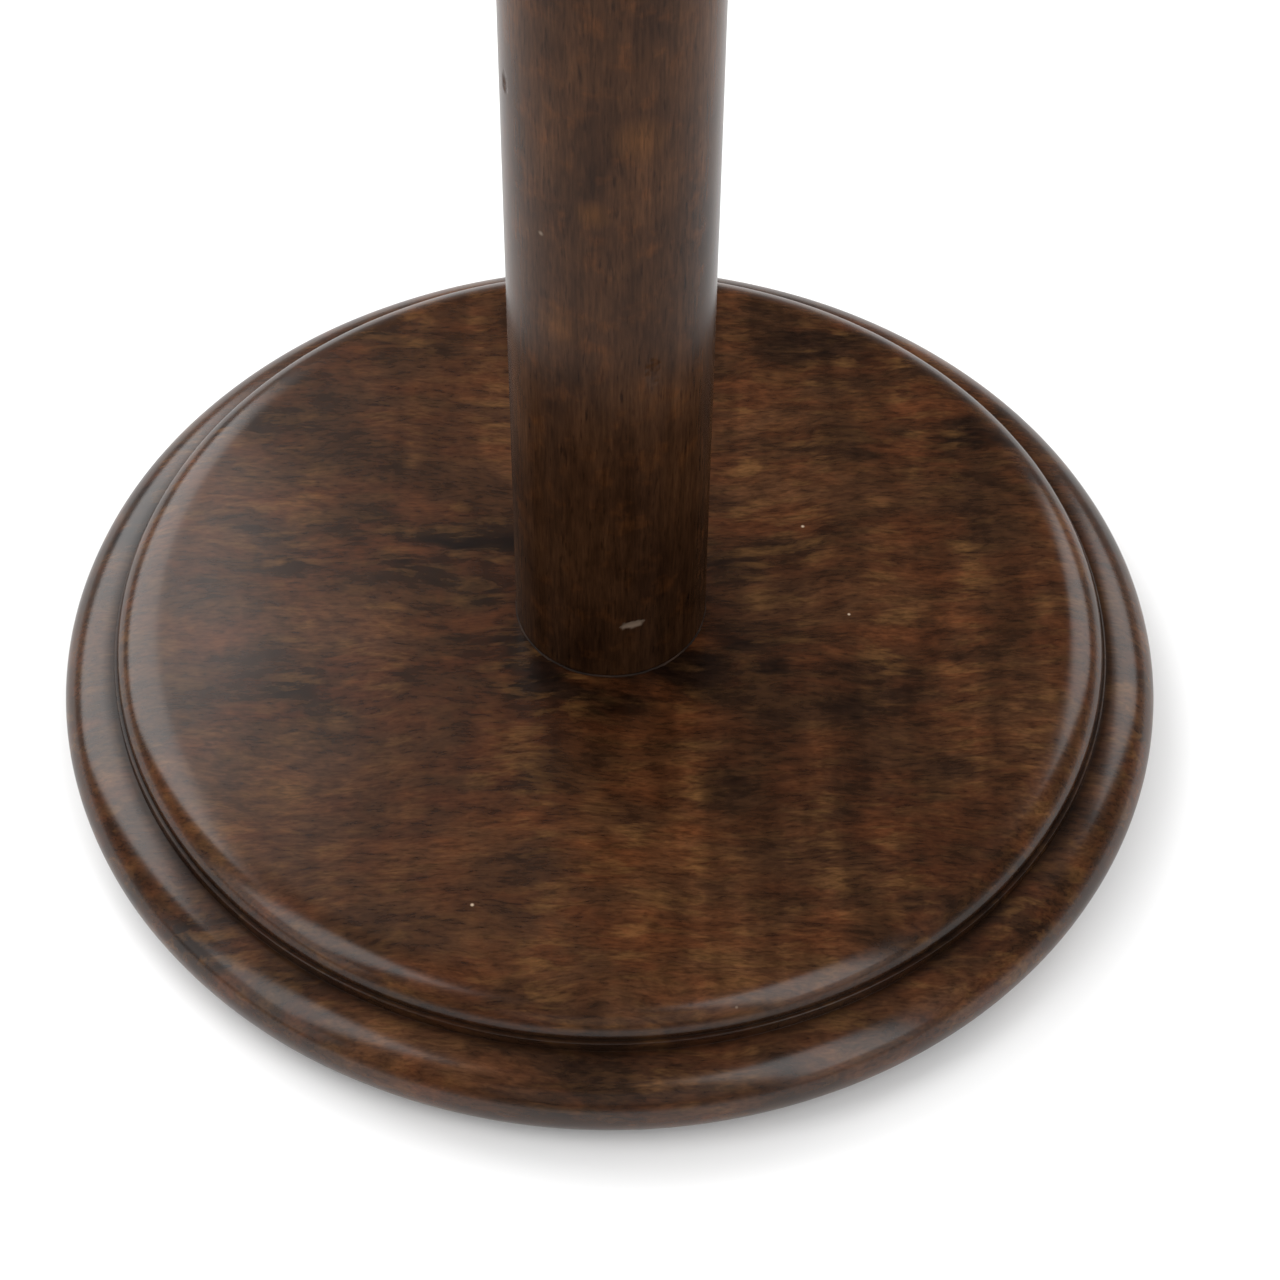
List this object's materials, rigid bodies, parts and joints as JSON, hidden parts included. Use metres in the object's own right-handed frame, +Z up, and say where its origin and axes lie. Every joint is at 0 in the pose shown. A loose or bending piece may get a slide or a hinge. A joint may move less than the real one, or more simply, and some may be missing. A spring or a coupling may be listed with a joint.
{
  "type": "trumpet stand",
  "caption": "Dark stained wooden trumpet stand: a round turned base with a moulded edge and an upright round post that goes up into the bell.",
  "frame": {"origin": "on the stand's axis, on the surface that its felt ring rests on", "axes": "+Z up the post; +Y to the back, where the felt band's seam is; the board's grain runs along X"},
  "size_m": [0.175, 0.175, 0.215],
  "materials": {
    "base_wood": "walnut-brown stained hardwood, satin lacquer",
    "post_wood": "walnut-brown stained hardwood, satin lacquer",
    "felt": "dense dark brown wool felt",
    "steel": "bright zinc-plated steel"
  },
  "bodies": {
    "root": {"base": "base_wood", "post": "post_wood", "post_felt": "felt", "base_felt": "felt", "post_screw": "steel", "screw_washer": "steel"}
  },
  "joints": []
}
